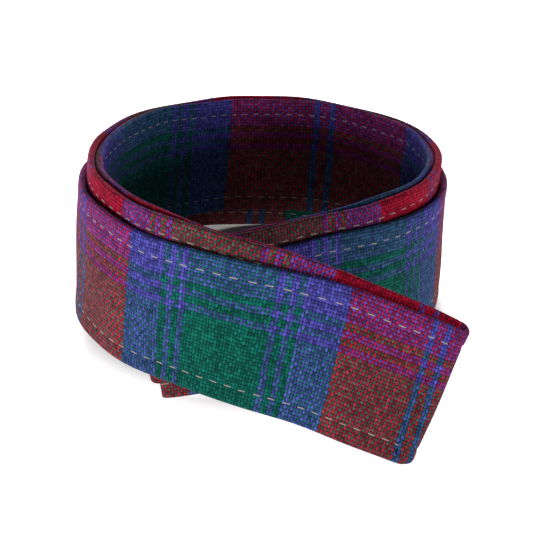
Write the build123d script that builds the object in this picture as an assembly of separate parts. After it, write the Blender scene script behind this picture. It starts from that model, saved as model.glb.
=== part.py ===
from build123d import *
import math
import os

# A straight, square-ended wool tie. It is folded in three along its length, so that three plies lie
# on each other, and the folded tie is curled once round into a ring that stands on its long edge.
# The two ends of the ring cross in front and come down to the surface.
# Lengths are in millimetres and angles in degrees. +Z is up and the ends cross on the -Y side.

# Driving dimensions
TIE_WIDTH = 40.0  # across the tie, from long edge to long edge
ROLL_LENGTH = 427.0  # along the folded tie, from the inner end to the outer end
INNER_START = 5.0  # the inner end stops short by this much, clear of the outer end's wall
TAIL_SHORT = 45.0  # the tail stops this far before the outer end
CLOTH = 0.55  # one layer of plain-woven wool
INTERLINING = 0.65  # the woven interlining between the two cloths
LAYER_GAP = 0.04  # air between layers that lie on each other
PLY_PITCH = 2.3  # from one ply of the folded tie to the next
STITCH_INSET = 5.0  # the topstitching's distance from the long edge
INTERLINING_INSET = 4.3  # the interlining stops this far inside the long edges
BACK_INSET = 0.8  # the back cloth lies this far inside the face cloth's turned edge
HINGE_GAP = 0.4  # clear space between bodies where an end bends away
THREAD_WIDTH = 0.5
THREAD_PROUD = 0.16  # how far the topstitching stands out of the cloth

# The shape of the roll. Each list has values at even spaces from the inner end to the outer end.
FIRST_HEADING = -6.5  # the way the inner end sets off, from +X towards +Y
TURN_PER_CM = [5.6, 4.6, 14.7, 11.7, 10.1, 7.4, 11.5, 7.3, 0.9]
DIP = [-11.0, -3.8, -0.2, -2.0, 1.8, 24.0]  # how steeply the tie runs down along its length
LEAN = [3.7, 1.5, 1.6, 1.8, 2.5, 14.8]  # how far the top edge leans in towards the ring
TILT_BACK = -6.4  # the whole ring tips about X, so that its back rests on the surface
TILT_SIDE = 1.8  # and about Y
RISE_MIDDLE = 7.9  # the neck and tail stand this much higher than the blade at the back of the ring
RISE_SLOPE = -1.0  # and so much more or less at the two ends
RISE_SAG = -5.2
REST_FLAT = 0.35  # how much of the lowest edges the surface presses flat
START_X, START_Y = -37.43, -34.52  # where the inner end's centre line starts

# Where the ends bend away from the ring, along the folded tie
INNER_BEND = 95.0
OUTER_BEND = 325.0

STEP = 1.0  # the spacing of the points along the roll
SECTION_STEP = 9.0  # the spacing of the sections that the solids are lofted through
LOFT_LENGTH = 95.0  # the longest length that is shaped in one loft
FOLD_SECTIONS = 6
PLY_THICKNESS = 2 * CLOTH + INTERLINING + 2 * LAYER_GAP
PLY_NAMES = ["blade", "neck", "tail"]  # outermost first


def eased(values, share):
    """The value at a share of the length, eased from each listed value to the next."""
    place = min(max(share, 0.0), 1.0) * (len(values) - 1)
    index = min(int(place), len(values) - 2)
    part = place - index
    part = part * part * (3 - 2 * part)
    return values[index] * (1 - part) + values[index + 1] * part


def roll_frames():
    """The blade's centre, and its outward and across directions, at every STEP of the roll."""
    heading = FIRST_HEADING
    centre = Vector(0, 0, 0)
    frames = []
    for index in range(STEP_COUNT + 1):
        share = index / STEP_COUNT
        level = Vector(1, 0, 0).rotate(Axis.Z, heading)
        outside = Vector(0, -1, 0).rotate(Axis.Z, heading)
        lean = math.radians(eased(LEAN, share))
        dip = math.radians(eased(DIP, share))
        down = outside * math.sin(lean) - Vector(0, 0, 1) * math.cos(lean)
        outward = outside * math.cos(lean) + Vector(0, 0, 1) * math.sin(lean)
        run = level * math.cos(dip) + down * math.sin(dip)
        across = down * math.cos(dip) - level * math.sin(dip)
        frames.append([tipped(direction) for direction in (centre, outward, across)])
        centre = centre + run * STEP
        heading += eased(TURN_PER_CM, share) * STEP / 10
    return frames


def tipped(direction):
    """A direction after the whole ring has tipped back to rest on the surface."""
    return direction.rotate(Axis.X, TILT_BACK).rotate(Axis.Y, TILT_SIDE)


def rise(share, ply):
    """How much higher than the blade a ply stands, measured along its width."""
    side = 2 * share - 1
    return 0.0 if ply == 0 else RISE_MIDDLE + RISE_SLOPE * side + RISE_SAG * side * side


def point(along, ply, across, depth):
    """A point of a ply: along the roll, across from its centre line, and out from its middle."""
    share = along / ROLL_LENGTH
    index = min(int(along / STEP), STEP_COUNT - 1)
    part = along / STEP - index
    first, second = FRAMES[index], FRAMES[index + 1]
    centre, outward, down = (a * (1 - part) + b * part for a, b in zip(first, second))
    return centre + down * (across - rise(share, ply)) + outward * (depth - ply * PLY_PITCH)


def lofted(sections):
    """A solid through four-cornered sections, smooth along the roll."""
    return Solid.make_loft([Wire.make_polygon(corners, close=True) for corners in sections])


def lengths(start, stop, ply, upper, lower, inner, outer):
    """The lofted lengths, end to end, of a strip that lies between two depths of a ply."""
    corners = [(upper, inner), (upper, outer), (lower, outer), (lower, inner)]
    part_count = math.ceil((stop - start) / LOFT_LENGTH)
    count = part_count * max(2, round((stop - start) / SECTION_STEP / part_count))
    sections = []
    for index in range(count + 1):
        along = start + (stop - start) * index / count
        sections.append([point(along, ply, across, depth) for across, depth in corners])
    size = count // part_count
    return [lofted(sections[first : first + size + 1]) for first in range(0, count, size)]


def strip(*places):
    """A layer of one ply as one solid."""
    first, *others = lengths(*places)
    return first.fuse(*others) if others else first


def turned_fold(along, direction, first_ply):
    """The cloth turned round from one ply into the next at an end of the roll."""
    radius = PLY_PITCH / 2
    half_width = TIE_WIDTH / 2
    half_thick = PLY_THICKNESS / 2
    near = point(along, first_ply, 0, 0)
    inner_step = point(along - direction * STEP, first_ply, 0, 0)
    forward = (near - inner_step).normalized()
    outward = (point(along, first_ply, 0, 1) - near).normalized()
    down = (point(along, first_ply, 1, 0) - near).normalized()
    climb = point(along, first_ply + 1, 0, 0) - near + outward * PLY_PITCH
    sections = []
    for index in range(FOLD_SECTIONS + 1):
        share = index / FOLD_SECTIONS
        angle = math.pi * share
        radial = outward * math.cos(angle) + forward * math.sin(angle)
        middle = near + forward * LAYER_GAP - outward * radius + radial * radius + climb * share
        corners = [(-1, -1), (-1, 1), (1, 1), (1, -1)]
        sections.append(
            [middle + down * half_width * a + radial * half_thick * d for a, d in corners]
        )
    return lofted(sections)


def pressed(solid):
    """The part of a solid that is above the surface the roll stands on."""
    box = solid.bounding_box()
    if box.min.Z >= 0:
        return solid
    middle = box.center()
    size = box.size + Vector(2, 2, 0)
    keep = Box(size.X, size.Y, box.max.Z + 1, align=(Align.CENTER, Align.CENTER, Align.MIN))
    return solid & keep.moved(Location((middle.X, middle.Y, 0)))


def save(name, solids):
    """Write one sub-part, pressed flat where it stands on the surface."""
    whole = [piece for solid in solids for piece in pressed(solid).solids()]
    shape = whole[0] if len(whole) == 1 else Compound(children=whole)
    shape.label = name
    export_step(shape, f"parts/{name}.step")


STEP_COUNT = round(ROLL_LENGTH / STEP)
FRAMES = roll_frames()
LOWEST = min(
    point(index * STEP, 0, TIE_WIDTH / 2, PLY_THICKNESS / 2).Z
    for index in range(round(INNER_START / STEP), STEP_COUNT + 1)
)
PLACE = Vector(START_X, START_Y, -LOWEST - REST_FLAT)
for frame in FRAMES:
    frame[0] = frame[0] + PLACE

# The bodies: name, and where each starts and stops along the folded tie
BODIES = {
    "inner_end": (INNER_START, INNER_BEND - HINGE_GAP / 2),
    "ring": (INNER_BEND + HINGE_GAP / 2, OUTER_BEND - HINGE_GAP / 2),
    "outer_end": (OUTER_BEND + HINGE_GAP / 2, ROLL_LENGTH),
}
edge = TIE_WIDTH / 2
face_skin = PLY_THICKNESS / 2
face_inside = face_skin - CLOTH
os.makedirs("parts", exist_ok=True)

for body, (start, stop) in BODIES.items():
    upper_thread = []
    lower_thread = []
    for ply, ply_name in enumerate(PLY_NAMES):
        end = min(stop, ROLL_LENGTH - TAIL_SHORT) if ply_name == "tail" else stop
        # The face cloth looks out of the roll on the blade and tail, and the back cloth looks in.
        save(
            f"{ply_name}_face_{body}",
            [strip(start, end, ply, -edge, edge, face_inside, face_skin)],
        )
        narrow = edge - INTERLINING_INSET
        core = INTERLINING / 2
        save(f"{ply_name}_interlining_{body}", [strip(start, end, ply, -narrow, narrow, -core, core)])
        inside = edge - BACK_INSET
        save(
            f"{ply_name}_back_{body}",
            [strip(start, end, ply, -inside, inside, -face_skin, -face_inside)],
        )
        for side, threads in ((-1, upper_thread), (1, lower_thread)):
            line = side * (edge - STITCH_INSET)
            low, high = line - THREAD_WIDTH / 2, line + THREAD_WIDTH / 2
            near = face_skin + LAYER_GAP
            far = face_skin + THREAD_PROUD
            threads.extend(lengths(start, end, ply, low, high, near, far))
            threads.extend(lengths(start, end, ply, low, high, -far, -near))
    save(f"upper_topstitch_{body}", upper_thread)
    save(f"lower_topstitch_{body}", lower_thread)

# The cut lengths are joined by a seam that lies round each end fold of the roll.
save("blade_neck_join", [turned_fold(ROLL_LENGTH, 1, 0)])
save("neck_tail_join", [turned_fold(INNER_START, -1, 1)])
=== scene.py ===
# %% [markdown]
# # A rolled wool tie
# The real object is a narrow tie with square ends. Two strips of plain-woven tartan wool, a face cloth
# and a back cloth, hold an interlining between them, and a line of topstitching runs along each long
# edge. The tie is folded in three along its length and curled once round, so it stands on its edge.
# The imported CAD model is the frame: every cloth below lies where its plain CAD layer lies.

# %% Load the frame
import math

import bpy
import numpy as np
from mathutils import Matrix, Vector


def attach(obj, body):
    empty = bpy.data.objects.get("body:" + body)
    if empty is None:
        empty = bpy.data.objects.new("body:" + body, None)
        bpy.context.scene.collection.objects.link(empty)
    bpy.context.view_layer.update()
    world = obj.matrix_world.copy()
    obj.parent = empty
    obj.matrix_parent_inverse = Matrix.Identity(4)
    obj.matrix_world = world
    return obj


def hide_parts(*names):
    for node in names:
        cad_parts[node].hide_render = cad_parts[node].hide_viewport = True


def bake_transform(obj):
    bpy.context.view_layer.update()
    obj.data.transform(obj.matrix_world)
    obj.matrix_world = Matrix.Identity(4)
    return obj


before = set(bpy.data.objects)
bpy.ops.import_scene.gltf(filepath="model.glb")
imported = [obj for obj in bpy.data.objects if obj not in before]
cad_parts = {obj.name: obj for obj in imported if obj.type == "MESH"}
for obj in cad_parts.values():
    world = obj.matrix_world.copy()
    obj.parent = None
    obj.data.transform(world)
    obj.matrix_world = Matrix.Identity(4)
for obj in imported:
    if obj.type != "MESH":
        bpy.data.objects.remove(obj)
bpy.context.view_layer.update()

MM = 0.001

# %% [markdown]
# ## The shape of the roll
# A rolled strip is easiest to describe as a walk: at each step it turns by a little, dips a little and
# leans a little. The same few values shaped the CAD model, so repeating the walk here puts each thread
# of the visual cloth on the CAD layer that it stands for.

# %% The sizes of the tie, in millimetres
TIE_WIDTH = 40.0
ROLL_LENGTH = 427.0
INNER_START = 5.0  # where the cloth begins, along the roll
TAIL_SHORT = 45.0  # how far the tail stops short of the outer end
PLY_PITCH = 2.3  # from the middle of one ply to the middle of the next
PLY_HALF = 0.915  # half the thickness of a ply
CLOTH = 0.55
STITCH_INSET = 5.0
INNER_BEND = 95.0
OUTER_BEND = 325.0
BACK_SEAM = 190.0  # where the two halves of each cloth meet
HALF_WIDTH = TIE_WIDTH / 2
STITCH_LINE = HALF_WIDTH - STITCH_INSET
PLIES = ("blade", "neck", "tail")  # from the outside of the roll inwards
print("a", TIE_WIDTH, "mm tie, rolled over", ROLL_LENGTH, "mm, in", len(PLIES), "plies")

# %% The walk, with its values in degrees at even spaces along the roll
FIRST_HEADING = -6.5
TURN_PER_CM = [5.6, 4.6, 14.7, 11.7, 10.1, 7.4, 11.5, 7.3, 0.9]
DIP = [-11.0, -3.8, -0.2, -2.0, 1.8, 24.0]
LEAN = [3.7, 1.5, 1.6, 1.8, 2.5, 14.8]
TILT_BACK = -6.4
TILT_SIDE = 1.8
RISE_MIDDLE = 7.9
RISE_SLOPE = -1.0
RISE_SAG = -5.2
REST_FLAT = 0.35  # the lowest edge is let down by this, and then pressed flat
START_X, START_Y = -37.43, -34.52
SOFT_REST = 0.3  # a cloth is eased level over about this height above the surface


def eased(values, share):
    """Values at shares of the length, eased from each listed value to the next."""
    values = np.asarray(values)
    place = np.clip(share, 0, 1) * (len(values) - 1)
    index = np.minimum(place.astype(int), len(values) - 2)
    part = place - index
    part = part * part * (3 - 2 * part)
    return values[index] * (1 - part) + values[index + 1] * part


def turned(points, axis, degrees):
    """Points turned about an axis through the origin."""
    return points @ np.array(Matrix.Rotation(math.radians(degrees), 3, axis)).T


# %% Walk the centre line of the outermost ply, the blade
steps = np.arange(ROLL_LENGTH + 1)
share = steps / ROLL_LENGTH
turns = np.concatenate([[0], np.cumsum(eased(TURN_PER_CM, share) / 10)[:-1]])
heading = np.radians(FIRST_HEADING + turns)
dip, lean = np.radians(eased(DIP, share)), np.radians(eased(LEAN, share))
zero = np.zeros_like(heading)
level = np.stack([np.cos(heading), np.sin(heading), zero], 1)
outside = np.stack([np.sin(heading), -np.cos(heading), zero], 1)
up = np.array([0, 0, 1.0])
down = outside * np.sin(lean)[:, None] - up * np.cos(lean)[:, None]
outward = outside * np.cos(lean)[:, None] + up * np.sin(lean)[:, None]
run = level * np.cos(dip)[:, None] + down * np.sin(dip)[:, None]
across_way = down * np.cos(dip)[:, None] - level * np.sin(dip)[:, None]
centre = np.concatenate([np.zeros((1, 3)), np.cumsum(run, 0)[:-1]])


def tipped(directions):
    """Points or directions tipped with the whole roll."""
    return turned(turned(directions, "X", TILT_BACK), "Y", TILT_SIDE)


CENTRE, OUTWARD, ACROSS = tipped(centre), tipped(outward), tipped(across_way)
low_edge = (CENTRE + ACROSS * HALF_WIDTH + OUTWARD * PLY_HALF)[int(INNER_START):]
CENTRE = CENTRE + np.array([START_X, START_Y, -low_edge[:, 2].min() - REST_FLAT])
print("roll stands", round(float(np.ptp(CENTRE[:, 2]) + TIE_WIDTH)), "mm high or less")


def place(along, ply, across, depth):
    """Points of a ply in metres: along the roll, down across it, and out from its middle, all in mm."""
    along, across, depth = np.broadcast_arrays(along, across, depth)
    index = np.clip(along.astype(int), 0, len(steps) - 2)
    part = (along - index)[..., None]
    middle, out, way = (
        a[index] * (1 - part) + a[index + 1] * part for a in (CENTRE, OUTWARD, ACROSS)
    )
    side = 2 * along / ROLL_LENGTH - 1
    rise = 0.0 if ply == 0 else RISE_MIDDLE + RISE_SLOPE * side + RISE_SAG * side * side
    lowered = (across - rise)[..., None]
    points = middle + way * lowered + out * (depth - ply * PLY_PITCH)[..., None]
    return pressed(points) * MM


def pressed(points):
    """Points kept above the surface that the roll stands on, and close to it where they rest."""
    height = points[..., 2]
    points[..., 2] = (height + np.sqrt(height**2 + SOFT_REST**2)) / 2
    return points


# %% [markdown]
# ## One small helper for materials
# Colours are written as sRGB hex, as a dyer's card would give them, and turned to linear light once.

# %% Colour and node helpers
def linear(colour):
    """Linear red, green, blue and alpha from an sRGB hex colour."""
    parts = [int(colour[i : i + 2], 16) / 255 for i in (1, 3, 5)]
    return [p / 12.92 if p <= 0.04045 else ((p + 0.055) / 1.055) ** 2.4 for p in parts] + [1.0]


def add(tree, kind, settings=None, **inputs):
    """Adds a node, sets its settings, and sets or links its inputs."""
    node = tree.nodes.new(kind)
    for name, value in (settings or {}).items():
        setattr(node, name, value)
    for name, value in inputs.items():
        key = int(name[2:]) if name.startswith("in") and name[2:].isdigit() else name.replace("_", " ")
        socket = node.inputs[key]
        if isinstance(value, bpy.types.NodeSocket):
            tree.links.new(value, socket)
        else:
            socket.default_value = value
    return node


def new_material(name):
    """An empty material with a Principled BSDF joined to its output."""
    material = bpy.data.materials.new(name)
    material.use_nodes = True
    tree = material.node_tree
    tree.nodes.clear()
    shader = add(tree, "ShaderNodeBsdfPrincipled")
    add(tree, "ShaderNodeOutputMaterial", Surface=shader.outputs[0])
    return material, tree, shader


# %% [markdown]
# ## Plain-woven tartan wool
# Tartan is dyed in the yarn: one row of stripe widths, the sett, is used both along and across, and
# a plain weave shows the two yarns by turns, like a chessboard. Where stripes of one colour cross the
# cloth is solid, and where two colours cross they mix in dots. The UV map counts threads, so the
# shader only has to ask which thread it is on, which yarn lies on top, and how round that yarn is.

# %% The sett and the yarns
THREAD_PITCH = 0.88
ACROSS_PITCH = 1.01
LOOSE_PITCH = 1.23  # the tail's back cloth shows wider crossing stripes, for a reason not known
RED, BLUE, GREEN = "#a00f30", "#4a489a", "#0a5c50"
SETT = [(RED, 26), (BLUE, 2), (RED, 3), (BLUE, 2), (RED, 26), (BLUE, 13), (GREEN, 2), (BLUE, 2)]
SETT += [(GREEN, 2), (BLUE, 2), (GREEN, 26), (BLUE, 2), (GREEN, 2), (BLUE, 2), (GREEN, 2), (BLUE, 13)]
SETT_THREADS = sum(count for _, count in SETT)
print("one repeat is", SETT_THREADS, "threads,", round(SETT_THREADS * THREAD_PITCH), "mm")


def sett_colour(tree, thread):
    """The yarn colour of a thread number, from the sett repeated for ever."""
    share = add(tree, "ShaderNodeMath", {"operation": "DIVIDE"}, in0=thread, in1=float(SETT_THREADS))
    share = add(tree, "ShaderNodeMath", {"operation": "FRACT"}, in0=share.outputs[0])
    ramp = add(tree, "ShaderNodeValToRGB", Fac=share.outputs[0])
    ramp.color_ramp.interpolation = "CONSTANT"
    start = 0
    for index, (colour, count) in enumerate(SETT):
        stops = ramp.color_ramp.elements
        stop = stops[0] if index == 0 else stops.new(start / SETT_THREADS)
        stop.color = linear(colour)
        start += count
    ramp.color_ramp.elements.remove(ramp.color_ramp.elements[-1])
    return ramp.outputs[0]


def maths(tree, operation, *values, clamp=False):
    """One arithmetic step."""
    named = {f"in{i}": value for i, value in enumerate(values)}
    node = add(tree, "ShaderNodeMath", {"operation": operation, "use_clamp": clamp}, **named)
    return node.outputs[0]


# %% How the wool's surface is built up
DRIFT_SCALE, DRIFT_THREADS = 140.0, 1.2
YARN_LEAST, YARN_UNEVEN = (0.9, 0.78), 0.3
YARN_ROUND, YARN_DIVE, CROSSWISE_LIFT = 0.6, 0.5, 0.05
EDGE_SHARP, YARN_BLEND = 2.2, 0.12
FIBRE_SCALE, FIBRE_PART, FIBRE_LEAST = 2.6, 0.9, 0.55
BLOTCH_SCALE, BLOTCH_PART, BLOTCH_LEAST = 55.0, 0.5, 0.75
CROSSING_PART, CROSSING_LEAST = 0.7, 0.5
# In the hollows between the yarns the colour is painted darker, as shade.
GAP_LOW, GAP_HIGH, GAP_PAINTED_SHADE = 0.1, 0.74, 0.16
FIBRE_RELIEF, WEAVE_RELIEF = 0.35, 0.35 * MM
print("yarns vary in shade by", YARN_UNEVEN, "and the gaps between them keep", GAP_PAINTED_SHADE, "of the light")


# %% Wool, yarn-dyed, woven plain and pressed: soft, matt, slightly hairy
def woven_wool():
    """Tartan wool, drawn thread by thread from the UV map."""
    material, tree, shader = new_material("wool_tartan_plain_woven")
    uv = add(tree, "ShaderNodeUVMap", {"uv_map": "threads"}).outputs[0]
    # Cloth never lies quite straight: its threads wander by a fraction of their width.
    spot = add(tree, "ShaderNodeTexCoord").outputs["Object"]
    drift = add(tree, "ShaderNodeTexNoise", Vector=spot, Scale=DRIFT_SCALE, Detail=1.0).outputs["Color"]
    drift = add(tree, "ShaderNodeVectorMath", {"operation": "SUBTRACT"}, in0=drift, in1=(0.5, 0.5, 0.5))
    drift = drift.outputs[0]
    drift = add(tree, "ShaderNodeVectorMath", {"operation": "SCALE"}, in0=drift, Scale=DRIFT_THREADS)
    uv = add(tree, "ShaderNodeVectorMath", {"operation": "ADD"}, in0=uv, in1=drift.outputs[0]).outputs[0]
    parts = add(tree, "ShaderNodeSeparateXYZ", Vector=uv)
    threads, waves, rounds, shades = [], [], [], []
    for place_in_uv, least in zip(parts.outputs[:2], YARN_LEAST):
        thread = maths(tree, "FLOOR", place_in_uv)
        threads.append(thread)
        wave = maths(tree, "SINE", maths(tree, "MULTIPLY", place_in_uv, math.pi))
        waves.append(wave)
        rounds.append(maths(tree, "MULTIPLY", maths(tree, "ABSOLUTE", wave), YARN_ROUND))
        chance = add(tree, "ShaderNodeTexWhiteNoise", {"noise_dimensions": "1D"}, W=thread).outputs[0]
        shades.append(maths(tree, "MULTIPLY_ADD", chance, YARN_UNEVEN, least))
    # Each yarn is round across itself and dives under the next, so the higher one is seen.
    dive = maths(tree, "MULTIPLY", *waves)
    crosswise = maths(tree, "MULTIPLY_ADD", dive, YARN_DIVE, rounds[0])
    crosswise = maths(tree, "ADD", crosswise, CROSSWISE_LIFT)
    lengthwise = maths(tree, "MULTIPLY_ADD", dive, -YARN_DIVE, rounds[1])
    over = maths(tree, "SUBTRACT", lengthwise, crosswise)
    over = maths(tree, "MULTIPLY_ADD", over, EDGE_SHARP, 0.5, clamp=True)
    # Loose fibres blend the two yarns a little.
    over = maths(tree, "MULTIPLY_ADD", over, 1 - 2 * YARN_BLEND, YARN_BLEND)
    height = maths(tree, "MAXIMUM", lengthwise, crosswise)
    middle = [maths(tree, "ADD", thread, 0.5) for thread in threads]
    tints = []
    for number, shade in zip(middle, shades):
        yarn = add(tree, "ShaderNodeHueSaturation", Color=sett_colour(tree, number), Value=shade)
        tints.append(yarn.outputs[0])
    top = add(tree, "ShaderNodeMix", {"data_type": "RGBA"}, Factor=over, in6=tints[0], in7=tints[1])
    top = top.outputs[2]
    # Each crossing takes the light a little differently, as the yarns are uneven.
    crossing = add(tree, "ShaderNodeCombineXYZ", X=threads[0], Y=threads[1]).outputs[0]
    crossing = add(tree, "ShaderNodeTexWhiteNoise", {"noise_dimensions": "2D"}, Vector=crossing).outputs[0]
    # The fibres of a woollen yarn are fine streaks; they are drawn at about a third of a thread.
    fibre = add(tree, "ShaderNodeTexNoise", Vector=uv, Scale=FIBRE_SCALE, Detail=2.0).outputs[0]
    blotch = add(tree, "ShaderNodeTexNoise", Vector=spot, Scale=BLOTCH_SCALE, Detail=2.0).outputs[0]
    # Where neither yarn stands high, between the threads, the colour is darkened: painted shade in the
    # hollows of the weave.
    gap = add(tree, "ShaderNodeMapRange", {"interpolation_type": "SMOOTHSTEP"}, Value=height)
    gap.inputs["From Min"].default_value = GAP_LOW
    gap.inputs["From Max"].default_value = GAP_HIGH
    gap.inputs["To Min"].default_value = GAP_PAINTED_SHADE
    gap.inputs["To Max"].default_value = 1.0
    light = gap.outputs[0]
    for pattern, part, least in (
        (fibre, FIBRE_PART, FIBRE_LEAST),
        (blotch, BLOTCH_PART, BLOTCH_LEAST),
        (crossing, CROSSING_PART, CROSSING_LEAST),
    ):
        light = maths(tree, "MULTIPLY", light, maths(tree, "MULTIPLY_ADD", pattern, part, least))
    colour = add(tree, "ShaderNodeVectorMath", {"operation": "SCALE"}, in0=top, Scale=light)
    tree.links.new(colour.outputs[0], shader.inputs["Base Color"])
    relief = maths(tree, "MULTIPLY_ADD", fibre, FIBRE_RELIEF, height)
    bump = add(tree, "ShaderNodeBump", Strength=0.7, Distance=WEAVE_RELIEF, Height=relief)
    tree.links.new(bump.outputs[0], shader.inputs["Normal"])
    shader.inputs["Roughness"].default_value = 0.86
    shader.inputs["Specular IOR Level"].default_value = 0.06
    shader.inputs["Sheen Weight"].default_value = 0.16
    shader.inputs["Sheen Roughness"].default_value = 0.35
    shader.inputs["Sheen Tint"].default_value = linear("#d4c0f0")
    return material


WOOL = woven_wool()
print("the wool uses", len(WOOL.node_tree.nodes), "nodes")

# %% [markdown]
# ## Thread and interlining
# Topstitching thread is a twisted polyester or cotton, here a grey-beige one: its plies wind round, so
# a diagonal ripple is enough. Interlining is a loose brushed cloth that never shows on a finished tie.

# %% Twisted thread
def twisted_thread():
    """Grey-beige sewing thread, with its twist as a diagonal ripple of bump and of painted shade and
    highlight.
    """
    material, tree, shader = new_material("thread_twisted_grey_beige")
    uv = add(tree, "ShaderNodeUVMap", {"uv_map": "threads"}).outputs[0]
    twist = add(tree, "ShaderNodeTexWave", {"bands_direction": "DIAGONAL"}, Vector=uv, Scale=3.0)
    # The ripple paints the twist's grooves darker and its plies lighter: painted shade and highlight on one
    # grey-beige thread.
    tone = add(tree, "ShaderNodeMix", {"data_type": "RGBA"}, Factor=twist.outputs[1])
    tone.inputs[6].default_value = linear("#625b56")
    tone.inputs[7].default_value = linear("#b4aaa0")
    tree.links.new(tone.outputs[2], shader.inputs["Base Color"])
    bump = add(tree, "ShaderNodeBump", Strength=0.4, Distance=0.0001, Height=twist.outputs[1])
    tree.links.new(bump.outputs[0], shader.inputs["Normal"])
    shader.inputs["Roughness"].default_value = 0.55
    shader.inputs["Sheen Weight"].default_value = 0.15
    return material


def brushed_interlining():
    """Pale interlining, soft and matt, with no pattern but its fibres."""
    material, tree, shader = new_material("interlining_brushed_woven")
    spot = add(tree, "ShaderNodeTexCoord").outputs["Object"]
    fibres = add(tree, "ShaderNodeTexNoise", Vector=spot, Scale=1800.0, Detail=3.0).outputs[0]
    tone = add(tree, "ShaderNodeMix", {"data_type": "RGBA"}, Factor=fibres)
    tone.inputs[6].default_value = linear("#b9b4a6")
    tone.inputs[7].default_value = linear("#dedacf")
    tree.links.new(tone.outputs[2], shader.inputs["Base Color"])
    bump = add(tree, "ShaderNodeBump", Strength=0.5, Distance=0.0002, Height=fibres)
    tree.links.new(bump.outputs[0], shader.inputs["Normal"])
    shader.inputs["Roughness"].default_value = 0.95
    return material


THREAD = twisted_thread()
INTERLINING = brushed_interlining()
print("materials:", WOOL.name, THREAD.name, INTERLINING.name)

# %% [markdown]
# ## The camera, and the light of a small lit table
# The camera stands a little above the roll. The floor glows white around the roll, and is made dark
# under it to stand for a deep shadow. Two small low lamps at the front, left and right, shape the
# cloth, and were chosen because low light rakes across a weave. A larger lamp behind and above lights
# the rims.

# %% Camera
LENS, SENSOR = 85.9137, 36.0  # in mm
CAMERA_TARGET = Vector((-0.52, -27.99, 34.28)) * MM
CAMERA_DISTANCE = 354.9 * MM
CAMERA_ELEVATION, CAMERA_AZIMUTH, CAMERA_ROLL = 31.41, -2.82, 2.08
elevation, azimuth = math.radians(CAMERA_ELEVATION), math.radians(CAMERA_AZIMUTH)
back_way = Vector(
    (math.sin(azimuth) * math.cos(elevation), -math.cos(azimuth) * math.cos(elevation), math.sin(elevation))
)
camera_data = bpy.data.cameras.new("camera")
camera = bpy.data.objects.new("camera", camera_data)
bpy.context.collection.objects.link(camera)
facing = back_way.to_track_quat("Z", "Y").to_matrix()
facing = facing @ Matrix.Rotation(math.radians(CAMERA_ROLL), 3, "Z")
camera.matrix_world = Matrix.Translation(CAMERA_TARGET + back_way * CAMERA_DISTANCE) @ facing.to_4x4()
camera_data.sensor_fit = "HORIZONTAL"
camera_data.sensor_width = SENSOR
camera_data.lens = LENS
camera_data.clip_start = 0.01
bpy.context.scene.camera = camera
print("camera at", [round(c, 3) for c in camera.matrix_world.translation], "m")


# %% A glowing floor, with a painted shadow beneath the roll; sizes in metres
FLOOR_SIZE = 40.0
PAINTED_SHADOW_CENTRE, PAINTED_SHADOW_RADIUS, GLOW_RADIUS = (0, 0.018, 0), 0.046, 0.068
GLOW = 0.9


def floor_with_painted_shadow():
    """A wide sheet of opal acrylic that glows white, with a painted shadow under the roll, where its glow
    fades out and its colour turns grey.
    """
    bpy.ops.object.select_all(action="DESELECT")
    bpy.ops.mesh.primitive_plane_add(size=FLOOR_SIZE, location=(0, 0, 0))
    floor = bpy.context.object
    floor.name = "floor"
    material, tree, shader = new_material("opal_acrylic_lit_from_below")
    shader.inputs["Roughness"].default_value = 0.9
    spot = add(tree, "ShaderNodeTexCoord").outputs["Object"]
    spot = add(tree, "ShaderNodeVectorMath", {"operation": "DISTANCE"}, in0=spot, in1=PAINTED_SHADOW_CENTRE)
    reach = spot.outputs["Value"]
    # Under the roll the glow fades out: a painted shadow.
    glow = add(tree, "ShaderNodeMapRange", {"interpolation_type": "SMOOTHSTEP"}, Value=reach)
    glow.inputs["From Min"].default_value = PAINTED_SHADOW_RADIUS
    glow.inputs["From Max"].default_value = GLOW_RADIUS
    glow.inputs["To Max"].default_value = GLOW
    shader.inputs["Emission Color"].default_value = linear("#ffffff")
    tree.links.new(glow.outputs[0], shader.inputs["Emission Strength"])
    # There the floor's colour turns grey as well: the same painted shadow, in its colour.
    tone = add(tree, "ShaderNodeMix", {"data_type": "RGBA"}, Factor=glow.outputs[0])
    tone.inputs[6].default_value = linear("#8e8c8a")
    tone.inputs[7].default_value = linear("#fdfcfb")
    tree.links.new(tone.outputs[2], shader.inputs["Base Color"])
    floor.data.materials.append(material)


floor_with_painted_shadow()


# %% Lamps and dim surroundings
def soft_lamp(name, position, size, power, target=(0, 0, 0.02)):
    """A square lamp that faces the roll."""
    data = bpy.data.lights.new(name, "AREA")
    data.size = size
    data.energy = power
    lamp = bpy.data.objects.new(name, data)
    bpy.context.collection.objects.link(lamp)
    way = Vector(position) - Vector(target)
    lamp.matrix_world = Matrix.Translation(position) @ way.to_track_quat("Z", "Y").to_matrix().to_4x4()


world = bpy.data.worlds.new("dim_surroundings")
bpy.context.scene.world = world
world.use_nodes = True
world.node_tree.nodes["Background"].inputs[0].default_value = linear("#fbfbff")
world.node_tree.nodes["Background"].inputs[1].default_value = 0.08
soft_lamp("key", (-0.78, -0.72, 0.15), 0.3, 10.5)
soft_lamp("back", (0.0, 0.9, 0.6), 0.5, 14.0)
soft_lamp("front", (0.85, -0.6, 0.14), 0.3, 5.6)
bpy.context.scene.view_settings.view_transform = "Standard"
bpy.context.scene.view_settings.gamma = 0.95
print("lamps:", [data.name for data in bpy.data.lights])

# %% [markdown]
# ## The cloths
# Each ply is a face cloth and a back cloth whose edges are turned in and meet along the rim. A strap
# or sheet like this is made directly as a mesh: a cross-section, with its stitched grooves and puffed
# edges, is carried along the walk. Threads are counted into the UV map on the way, so the tartan stays
# square with the cloth wherever it bends.

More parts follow.
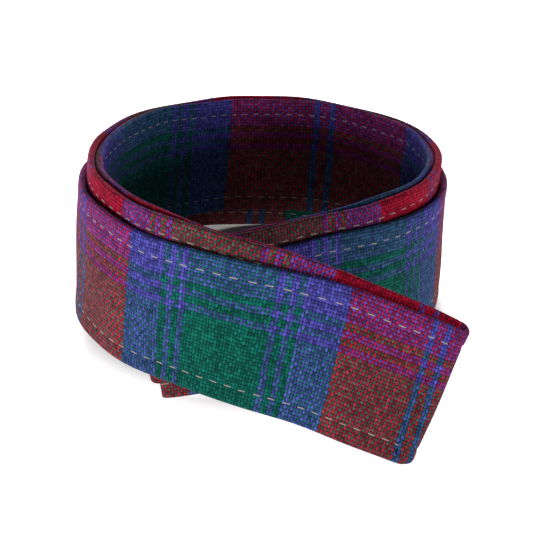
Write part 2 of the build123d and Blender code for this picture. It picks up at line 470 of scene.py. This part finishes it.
# %% The cross-section of one cloth
RIM_RADIUS = 0.9  # the turned edge is round
RIM_POINTS = 7
RIM_TURN = 0.98  # of a quarter turn, so the two cloths stop just short of each other
FLAT_POINTS = 61
GROOVE_DEPTH = 0.30
GROOVE_WIDTH = 0.42
CROWN = 0.12
EDGE_PUFF = 0.18
STITCH_PERIOD = 4.3


def skin_depth(across):
    """How far a cloth's outer side stands from the middle of its ply, away from the rims."""
    size = np.abs(across)
    inside = size < STITCH_LINE
    crown = CROWN * (1 - (size / STITCH_LINE) ** 2)
    puff = EDGE_PUFF * np.sin(np.pi * np.clip((size - STITCH_LINE) / STITCH_INSET, 0, 1))
    groove = GROOVE_DEPTH * np.exp(-(((size - STITCH_LINE) / GROOVE_WIDTH) ** 2))
    return PLY_HALF + np.where(inside, crown, puff) - groove


def cross_section():
    """Across and depth of a cloth's outer side, from the upper rim's middle to the lower rim's."""
    flat_edge = HALF_WIDTH - RIM_RADIUS
    bend = np.linspace(math.pi / 2 * RIM_TURN, 0, RIM_POINTS, endpoint=False)
    flat = np.linspace(-flat_edge, flat_edge, FLAT_POINTS)
    rim_across = flat_edge + RIM_RADIUS * np.sin(bend)
    rim_depth = PLY_HALF * np.cos(bend)
    across = np.concatenate([-rim_across, flat, rim_across[::-1]])
    depth = np.concatenate([rim_depth, skin_depth(flat), rim_depth[::-1]])
    return across, depth


SECTION_ACROSS, SECTION_DEPTH = cross_section()
lengths = np.hypot(np.diff(SECTION_ACROSS), np.diff(SECTION_DEPTH))
SECTION_WAY = np.concatenate([[0], np.cumsum(lengths)])
SECTION_WAY = SECTION_WAY - SECTION_WAY[-1] / 2
print("cloth wraps", round(float(SECTION_WAY[-1] * 2), 1), "mm over a", TIE_WIDTH, "mm tie")


# %% How the soft cloth wanders from the plain CAD strip
WANDERS = [(0.3, 13.1, 2.1), (0.16, 5.3, 1.3)]  # height, mm to a radian, and shift from ply to ply
RIPPLES = [(0.28, 8.7, 9.0), (0.12, 3.9, -6.0)]  # height, and mm to a radian along and across
PUCKER, PUCKER_REACH = 0.07, 1.3
SKEW, SKEW_START, SKEW_OVER = 0.13, 340, 70  # the blade's crossing threads lean near its outer end


def wander(along, ply):
    """A slow drift of the whole ply across its width, in mm."""
    return sum(size * np.sin(along / length + shift * ply) for size, length, shift in WANDERS)


def ripple(along, across):
    """Slow waves of the plies out of their plane, all together, and the pucker of each stitch."""
    waves = sum(size * np.sin(along / far + across / wide) for size, far, wide in RIPPLES)
    near_line = np.exp(-(((np.abs(across) - STITCH_LINE) / PUCKER_REACH) ** 2))
    return waves + PUCKER * np.cos(2 * np.pi * along / STITCH_PERIOD) * near_line


def skewed(along, across, ply):
    """How far the blade's crossing threads run ahead below and behind above, near its outer end."""
    share = np.clip((along - SKEW_START) / SKEW_OVER, 0, 1)
    return (SKEW if ply == 0 else 0.0) * share * share * (3 - 2 * share) * across


print("the cloth strays up to", round(sum(size for size, _, _ in WANDERS), 2), "mm across")

# %% Carry the section along the roll
def mesh_piece(name, points, faces, uv, material):
    """A smooth mesh object with a thread-count UV map."""
    mesh = bpy.data.meshes.new(name)
    mesh.from_pydata(points.reshape(-1, 3).tolist(), [], faces)
    layer = mesh.uv_layers.new(name="threads")
    loops = np.zeros(len(mesh.loops), dtype=np.int32)
    mesh.loops.foreach_get("vertex_index", loops)
    layer.data.foreach_set("uv", uv.reshape(-1, 2)[loops].astype(np.float32).ravel())
    mesh.polygons.foreach_set("use_smooth", [True] * len(mesh.polygons))
    mesh.materials.append(material)
    mesh.update()
    piece = bpy.data.objects.new(name, mesh)
    bpy.context.collection.objects.link(piece)
    return piece


def tube_faces(rings, count, flip):
    """Quads between closed rings of points, and a cap at each end."""
    faces = []
    for ring in range(rings - 1):
        for k in range(count):
            a, b = ring * count + k, ring * count + (k + 1) % count
            faces.append((a, b, b + count, a + count))
    faces.append(tuple(range(count))[::-1])
    faces.append(tuple((rings - 1) * count + k for k in range(count)))
    return [face[::-1] for face in faces] if flip else faces


# %% One cloth of a ply
THINNER = 0.06  # the visual cloth is this much thinner than its CAD layer
LEAST_DEPTH = 0.03
INNER_STEP = 3  # the inner side is hidden, so it takes every third point
END_ROUND, END_CLOSED = 1.2, 0.97  # a free end closes over this length, by this much
THREAD_START = 10 * SETT_THREADS  # keeps every thread number above zero


def cloth_strip(name, start, stop, ply, side, phase, edge_thread, ends):
    """One cloth of a ply. side is 1 for the face and -1 for the back; ends are rounded where True."""
    pitch = LOOSE_PITCH if name.startswith("tail_back") else THREAD_PITCH
    along = np.linspace(start, stop, round(stop - start) + 1)
    thick = CLOTH - THINNER
    shrink = (HALF_WIDTH - thick) / HALF_WIDTH
    inner_across = SECTION_ACROSS[::-INNER_STEP] * shrink
    inner_depth = np.maximum(SECTION_DEPTH[::-INNER_STEP] - thick, LEAST_DEPTH)
    across = np.concatenate([SECTION_ACROSS, inner_across])
    depth = np.concatenate([SECTION_DEPTH, inner_depth])
    way = np.concatenate([SECTION_WAY, SECTION_WAY[::-INNER_STEP]])
    grid_along = along[:, None]
    closing = np.ones_like(grid_along)
    for at_end, limit in zip(ends, (start, stop)):
        if at_end:
            gone = np.clip(1 - np.abs(grid_along - limit) / END_ROUND, 0, 1)
            closing = closing * np.sqrt(np.clip(1 - END_CLOSED * gone**2, 0, 1))
    shape = side * depth[None] * closing + ripple(grid_along, across[None])
    points = place(grid_along, ply, across[None] + wander(grid_along, ply), shape)
    squared = grid_along - skewed(grid_along, across[None], ply)
    threads_along = (squared - phase) / pitch + THREAD_START
    threads_across = edge_thread + (way[None] + HALF_WIDTH) / ACROSS_PITCH + THREAD_START
    uv = np.stack(np.broadcast_arrays(threads_along, threads_across), -1)
    faces = tube_faces(len(along), len(across), side < 0)
    piece = mesh_piece(name, points, faces, uv, WOOL)
    return piece


# %% [markdown]
# ## Where in the sett each cloth starts
# The tartan of each cloth starts at its own place in the sett, perhaps because the cloths were cut
# apart. `phase` is where, along the roll, a wide red stripe begins, and `edge_thread` is the thread of
# the sett that lies on the upper edge. The left and right halves meet at the back, out of sight.

# %% Where each cloth was cut
BLUE_EDGE = 63.1
RED_EDGE = 6
CUTS = {
    ("blade", "face", "left"): (398.0, BLUE_EDGE),
    ("blade", "back", "left"): (398.0, BLUE_EDGE),
    ("blade", "face", "right"): (102.0, BLUE_EDGE),
    ("blade", "back", "right"): (102.0, BLUE_EDGE),
    ("neck", "face", "left"): (391.0, RED_EDGE),
    ("neck", "back", "left"): (391.0, RED_EDGE),
    ("neck", "face", "right"): (75.0, RED_EDGE),
    ("neck", "back", "right"): (75.0, RED_EDGE),
    ("tail", "face", "left"): (330.0, RED_EDGE),
    ("tail", "back", "left"): (141.7, BLUE_EDGE),
    ("tail", "face", "right"): (-4.0, BLUE_EDGE),
    ("tail", "back", "right"): (141.7, BLUE_EDGE),
}
BEND_BAND = 14.0  # the points this far on each side of a bend are found, and not used


def bend_at(piece, along, ply, ring_first):
    """Bakes a piece's placing into its mesh; the points on each side of its bend are found but not used,
    and the piece does not bend.
    """
    before, after = (Vector(place(along + d, ply, 0.0, 0.0)) for d in (-BEND_BAND, BEND_BAND))
    if ring_first:
        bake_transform(piece)
    else:
        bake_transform(piece)


HALVES = {
    "left": (BACK_SEAM, ROLL_LENGTH, OUTER_BEND, "outer_end", True),
    "right": (INNER_START, BACK_SEAM, INNER_BEND, "inner_end", False),
}


def half_plies():
    """The two halves of each ply, with where each starts, stops and bends, and on which bodies."""
    for ply, ply_name in enumerate(PLIES):
        for half, (start, stop, bend, end_body, ring_first) in HALVES.items():
            if ply_name == "tail" and half == "left":
                stop = ROLL_LENGTH - TAIL_SHORT
            yield ply, ply_name, half, start, stop, bend, end_body, ring_first


def stood_for(layer, half, end_body):
    """The CAD nodes that half of a layer takes the place of: the left half runs on round the ring."""
    nodes = [f"{layer}_{end_body}"]
    return nodes + [f"{layer}_ring"] if half == "left" else nodes


# %% The twelve cloths
for ply, ply_name, half, start, stop, bend, end_body, ring_first in half_plies():
    for side, layer in ((1, "face"), (-1, "back")):
        phase, edge = CUTS[ply_name, layer, half]
        free_start = ply_name == "blade" and half == "right"
        free_stop = ply_name == "tail" and half == "left"
        name = f"{ply_name}_{layer}_cloth_{half}"
        cloth = cloth_strip(name, start, stop, ply, side, phase, edge, (free_start, free_stop))
        replaced = stood_for(f"{ply_name}_{layer}", half, end_body)
        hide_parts(*replaced)
        bend_at(cloth, bend, ply, ring_first)
print("cloths made:", len(CUTS))

# %% [markdown]
# ## The interlinings
# A plain soft strip between the cloths, narrower than they are, so that it never shows at the rims.

# %% Interlinings
INTERLINING_HALF = 15.0
INTERLINING_THICK = 0.5
INTERLINING_SHORT = 2.0  # it stops this far inside the cloths
INTERLINING_ROWS, INTERLINING_POINTS = 90, 9


def interlining_strip(name, start, stop, ply):
    """A flat soft strip in the middle of a ply."""
    along = np.linspace(start, stop, INTERLINING_ROWS)[:, None]
    over = np.linspace(-1, 1, INTERLINING_POINTS)
    across = np.concatenate([over, over[::-1]]) * INTERLINING_HALF
    half_thick = np.full(INTERLINING_POINTS, INTERLINING_THICK / 2)
    depth = np.concatenate([half_thick, -half_thick])
    shape = depth[None] + ripple(along, across[None])
    points = place(along, ply, across[None] + wander(along, ply), shape)
    uv = np.zeros(points.shape[:2] + (2,))
    faces = tube_faces(len(along), len(across), False)
    piece = mesh_piece(name, points, faces, uv, INTERLINING)
    return piece


for ply, ply_name, half, start, stop, bend, end_body, ring_first in half_plies():
    inner_stop = stop - INTERLINING_SHORT if half == "left" else stop
    name = f"{ply_name}_interlining_{half}"
    piece = interlining_strip(name, start + INTERLINING_SHORT, inner_stop, ply)
    replaced = stood_for(f"{ply_name}_interlining", half, end_body)
    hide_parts(*replaced)
    bend_at(piece, bend, ply, ring_first)
print("interlinings are", 2 * INTERLINING_HALF, "mm wide in a", TIE_WIDTH, "mm tie")

# %% [markdown]
# ## The end folds
# At each end of the roll the tie turns back on itself. The fold is soft, not creased, so the whole
# ply is carried round a half ellipse, and the threads are counted on from the cloth before it.

# %% Folds
FOLD_STEPS = 14
FOLD_REACH = 2.0
FOLD_LEAD = 3.0  # the fold takes in this much of each ply, so its two joins lie on flat cloth
LEAD_STEPS = 4
FOLD_TRAVEL = 1.6  # threads are counted on by this many mm for each radian and mm of reach
CORNER_LEAN, CORNER_SWELL, CORNER_WAVE = 0.12, 0.12, 7.0


def end_fold(name, along, direction, first_ply, phase, edges, body):
    """The cloth turned round from one ply into the next, at one end of the roll."""
    angle = np.linspace(0, math.pi, FOLD_STEPS + 1)[:, None]
    lead = np.linspace(FOLD_LEAD, 0, LEAD_STEPS, endpoint=False)[:, None]
    angle = np.concatenate([np.zeros_like(lead), angle, np.full_like(lead, math.pi)])
    lead = np.concatenate([lead, np.zeros((FOLD_STEPS + 1, 1)), lead[::-1]])
    across = np.concatenate([SECTION_ACROSS, SECTION_ACROSS[::-1]])
    depth = np.concatenate([SECTION_DEPTH, -SECTION_DEPTH[::-1]])
    way = np.concatenate([SECTION_WAY, SECTION_WAY[::-1]])
    first, second = (
        place(along, ply, across + wander(along, ply), 0.0) for ply in (first_ply, first_ply + 1)
    )
    before = place(along - direction, first_ply, 0.0, 0.0)
    here, out = place(along, first_ply, 0.0, 0.0), place(along, first_ply, 0.0, 1.0)
    forward = (here - before) / np.linalg.norm(here - before)
    outward_way = (out - here) / np.linalg.norm(out - here)
    turn = (1 - np.cos(angle)) / 2
    middle = first[None] * (1 - turn[..., None]) + second[None] * turn[..., None]
    middle = middle - forward * lead[..., None] * MM
    corner = 1 + CORNER_LEAN * np.sin(across / CORNER_WAVE + 1.0)
    corner = corner + CORNER_SWELL * np.abs(across / HALF_WIDTH) ** 4
    reach = FOLD_REACH * corner[None] * np.sin(angle)
    radial = outward_way * np.cos(angle)[..., None] + forward * np.sin(angle)[..., None]
    cloth = depth[None] + ripple(along, across[None]) * np.cos(angle)
    points = middle + forward * reach[..., None] * MM + radial * cloth[..., None] * MM
    points = pressed(points / MM) * MM
    travelled = FOLD_REACH * FOLD_TRAVEL * angle + np.where(angle > math.pi / 2, lead, -lead)
    squared = along - skewed(along, across[None], first_ply)
    threads_along = (squared - phase) / THREAD_PITCH + travelled / THREAD_PITCH * direction + THREAD_START
    threads_across = edges + (way[None] + HALF_WIDTH) / ACROSS_PITCH + THREAD_START
    uv = np.stack(np.broadcast_arrays(threads_along, threads_across), -1)
    faces = tube_faces(len(angle), len(across), direction < 0)
    piece = mesh_piece(f"{name}_fold", points, faces, uv, WOOL)
    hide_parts(name)
    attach(piece, body)


end_fold("blade_neck_join", ROLL_LENGTH, 1, 0, 398.0, BLUE_EDGE, "outer_end")
end_fold("neck_tail_join", INNER_START, -1, 1, -4.0, BLUE_EDGE, "inner_end")
print("folds reach", FOLD_REACH, "mm past the plies")

# %% [markdown]
# ## Topstitching
# A machine stitch sinks into the cloth at both ends and lies on it in the middle, so one stitch is a
# short bead that tapers at its ends. It is modelled once, and a copy is laid in each groove at every
# stitch, on both sides of every ply, with a little unevenness.

# %% One stitch
STITCH_LENGTH = 3.0
STITCH_WIDTH = 0.38
TAPER_FROM, TAPER = 0.4, 0.45  # past this share of its length from the middle, a bead is this thin


def one_stitch():
    """The points and faces of a bead one stitch long, along X, in mm."""
    bpy.ops.object.select_all(action="DESELECT")
    bpy.ops.mesh.primitive_cylinder_add(vertices=8, radius=STITCH_WIDTH / 2, depth=STITCH_LENGTH)
    bead = bpy.context.object
    bpy.ops.object.mode_set(mode="EDIT")
    bpy.ops.mesh.select_all(action="SELECT")
    bpy.ops.transform.rotate(value=math.pi / 2, orient_axis="Y", center_override=(0, 0, 0))
    bpy.ops.mesh.bisect(plane_co=(STITCH_LENGTH / 4, 0, 0), plane_no=(1, 0, 0))
    bpy.ops.mesh.select_all(action="SELECT")
    bpy.ops.mesh.bisect(plane_co=(-STITCH_LENGTH / 4, 0, 0), plane_no=(1, 0, 0))
    bpy.ops.object.mode_set(mode="OBJECT")
    points = np.array([v.co for v in bead.data.vertices])
    faces = [tuple(p.vertices) for p in bead.data.polygons]
    bpy.data.objects.remove(bead)
    taper = np.where(np.abs(points[:, 0]) > STITCH_LENGTH * TAPER_FROM, TAPER, 1.0)[:, None]
    points[:, 1:] *= taper
    return points, faces


BEAD, BEAD_FACES = one_stitch()
print("a stitch has", len(BEAD_FACES), "faces")


# %% Lay the stitches in their grooves
FIRST_STITCH, LAST_STITCH = 1.6, 1.0  # how far in from the two ends of a row
UNEVEN_ALONG, UNEVEN_TILT, UNEVEN_ACROSS = 0.08, 0.03, 0.04
STITCH_LIFT, STITCH_SINK, STITCH_FLAT = 0.13, 0.14, 0.75
FIRST_SEED = 12


def stitch_row(name, start, stop, ply, line, seed):
    """The stitches of one line, on both sides of one ply."""
    chance = np.random.default_rng(seed)
    places = np.arange(start + FIRST_STITCH, stop - LAST_STITCH, STITCH_PERIOD)
    points, faces, uv = [], [], []
    for side in (1, -1):
        for spot in places:
            along = spot + BEAD[:, 0] + chance.normal(0, UNEVEN_ALONG)
            tilt = chance.normal(0, UNEVEN_TILT)
            across = line + BEAD[:, 1] + tilt * BEAD[:, 0] + chance.normal(0, UNEVEN_ACROSS)
            sunk = STITCH_SINK * (2 * BEAD[:, 0] / STITCH_LENGTH) ** 2
            lift = skin_depth(np.array(line)) + STITCH_LIFT - sunk + BEAD[:, 2] * STITCH_FLAT
            depth = side * lift + ripple(along, across)
            faces += [tuple(v + len(points) * len(BEAD) for v in face)[::side] for face in BEAD_FACES]
            points.append(place(along, ply, across + wander(along, ply), depth))
            uv.append(np.stack([BEAD[:, 0], BEAD[:, 1] + BEAD[:, 2]], -1))
    return mesh_piece(name, np.array(points), faces, np.array(uv), THREAD)


# %% The twelve rows
LINES = ((-STITCH_LINE, "upper"), (STITCH_LINE, "lower"))
seed = FIRST_SEED
for ply, ply_name, half, start, stop, bend, end_body, ring_first in half_plies():
    for line, line_name in LINES:
        row = stitch_row(f"{ply_name}_{line_name}_stitches_{half}", start, stop, ply, line, seed)
        seed += 1
        if ply_name == "blade":
            replaced = stood_for(f"{line_name}_topstitch", half, end_body)
            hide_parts(*replaced)
        bend_at(row, bend, ply, ring_first)
print("rows of stitches:", seed - FIRST_SEED)
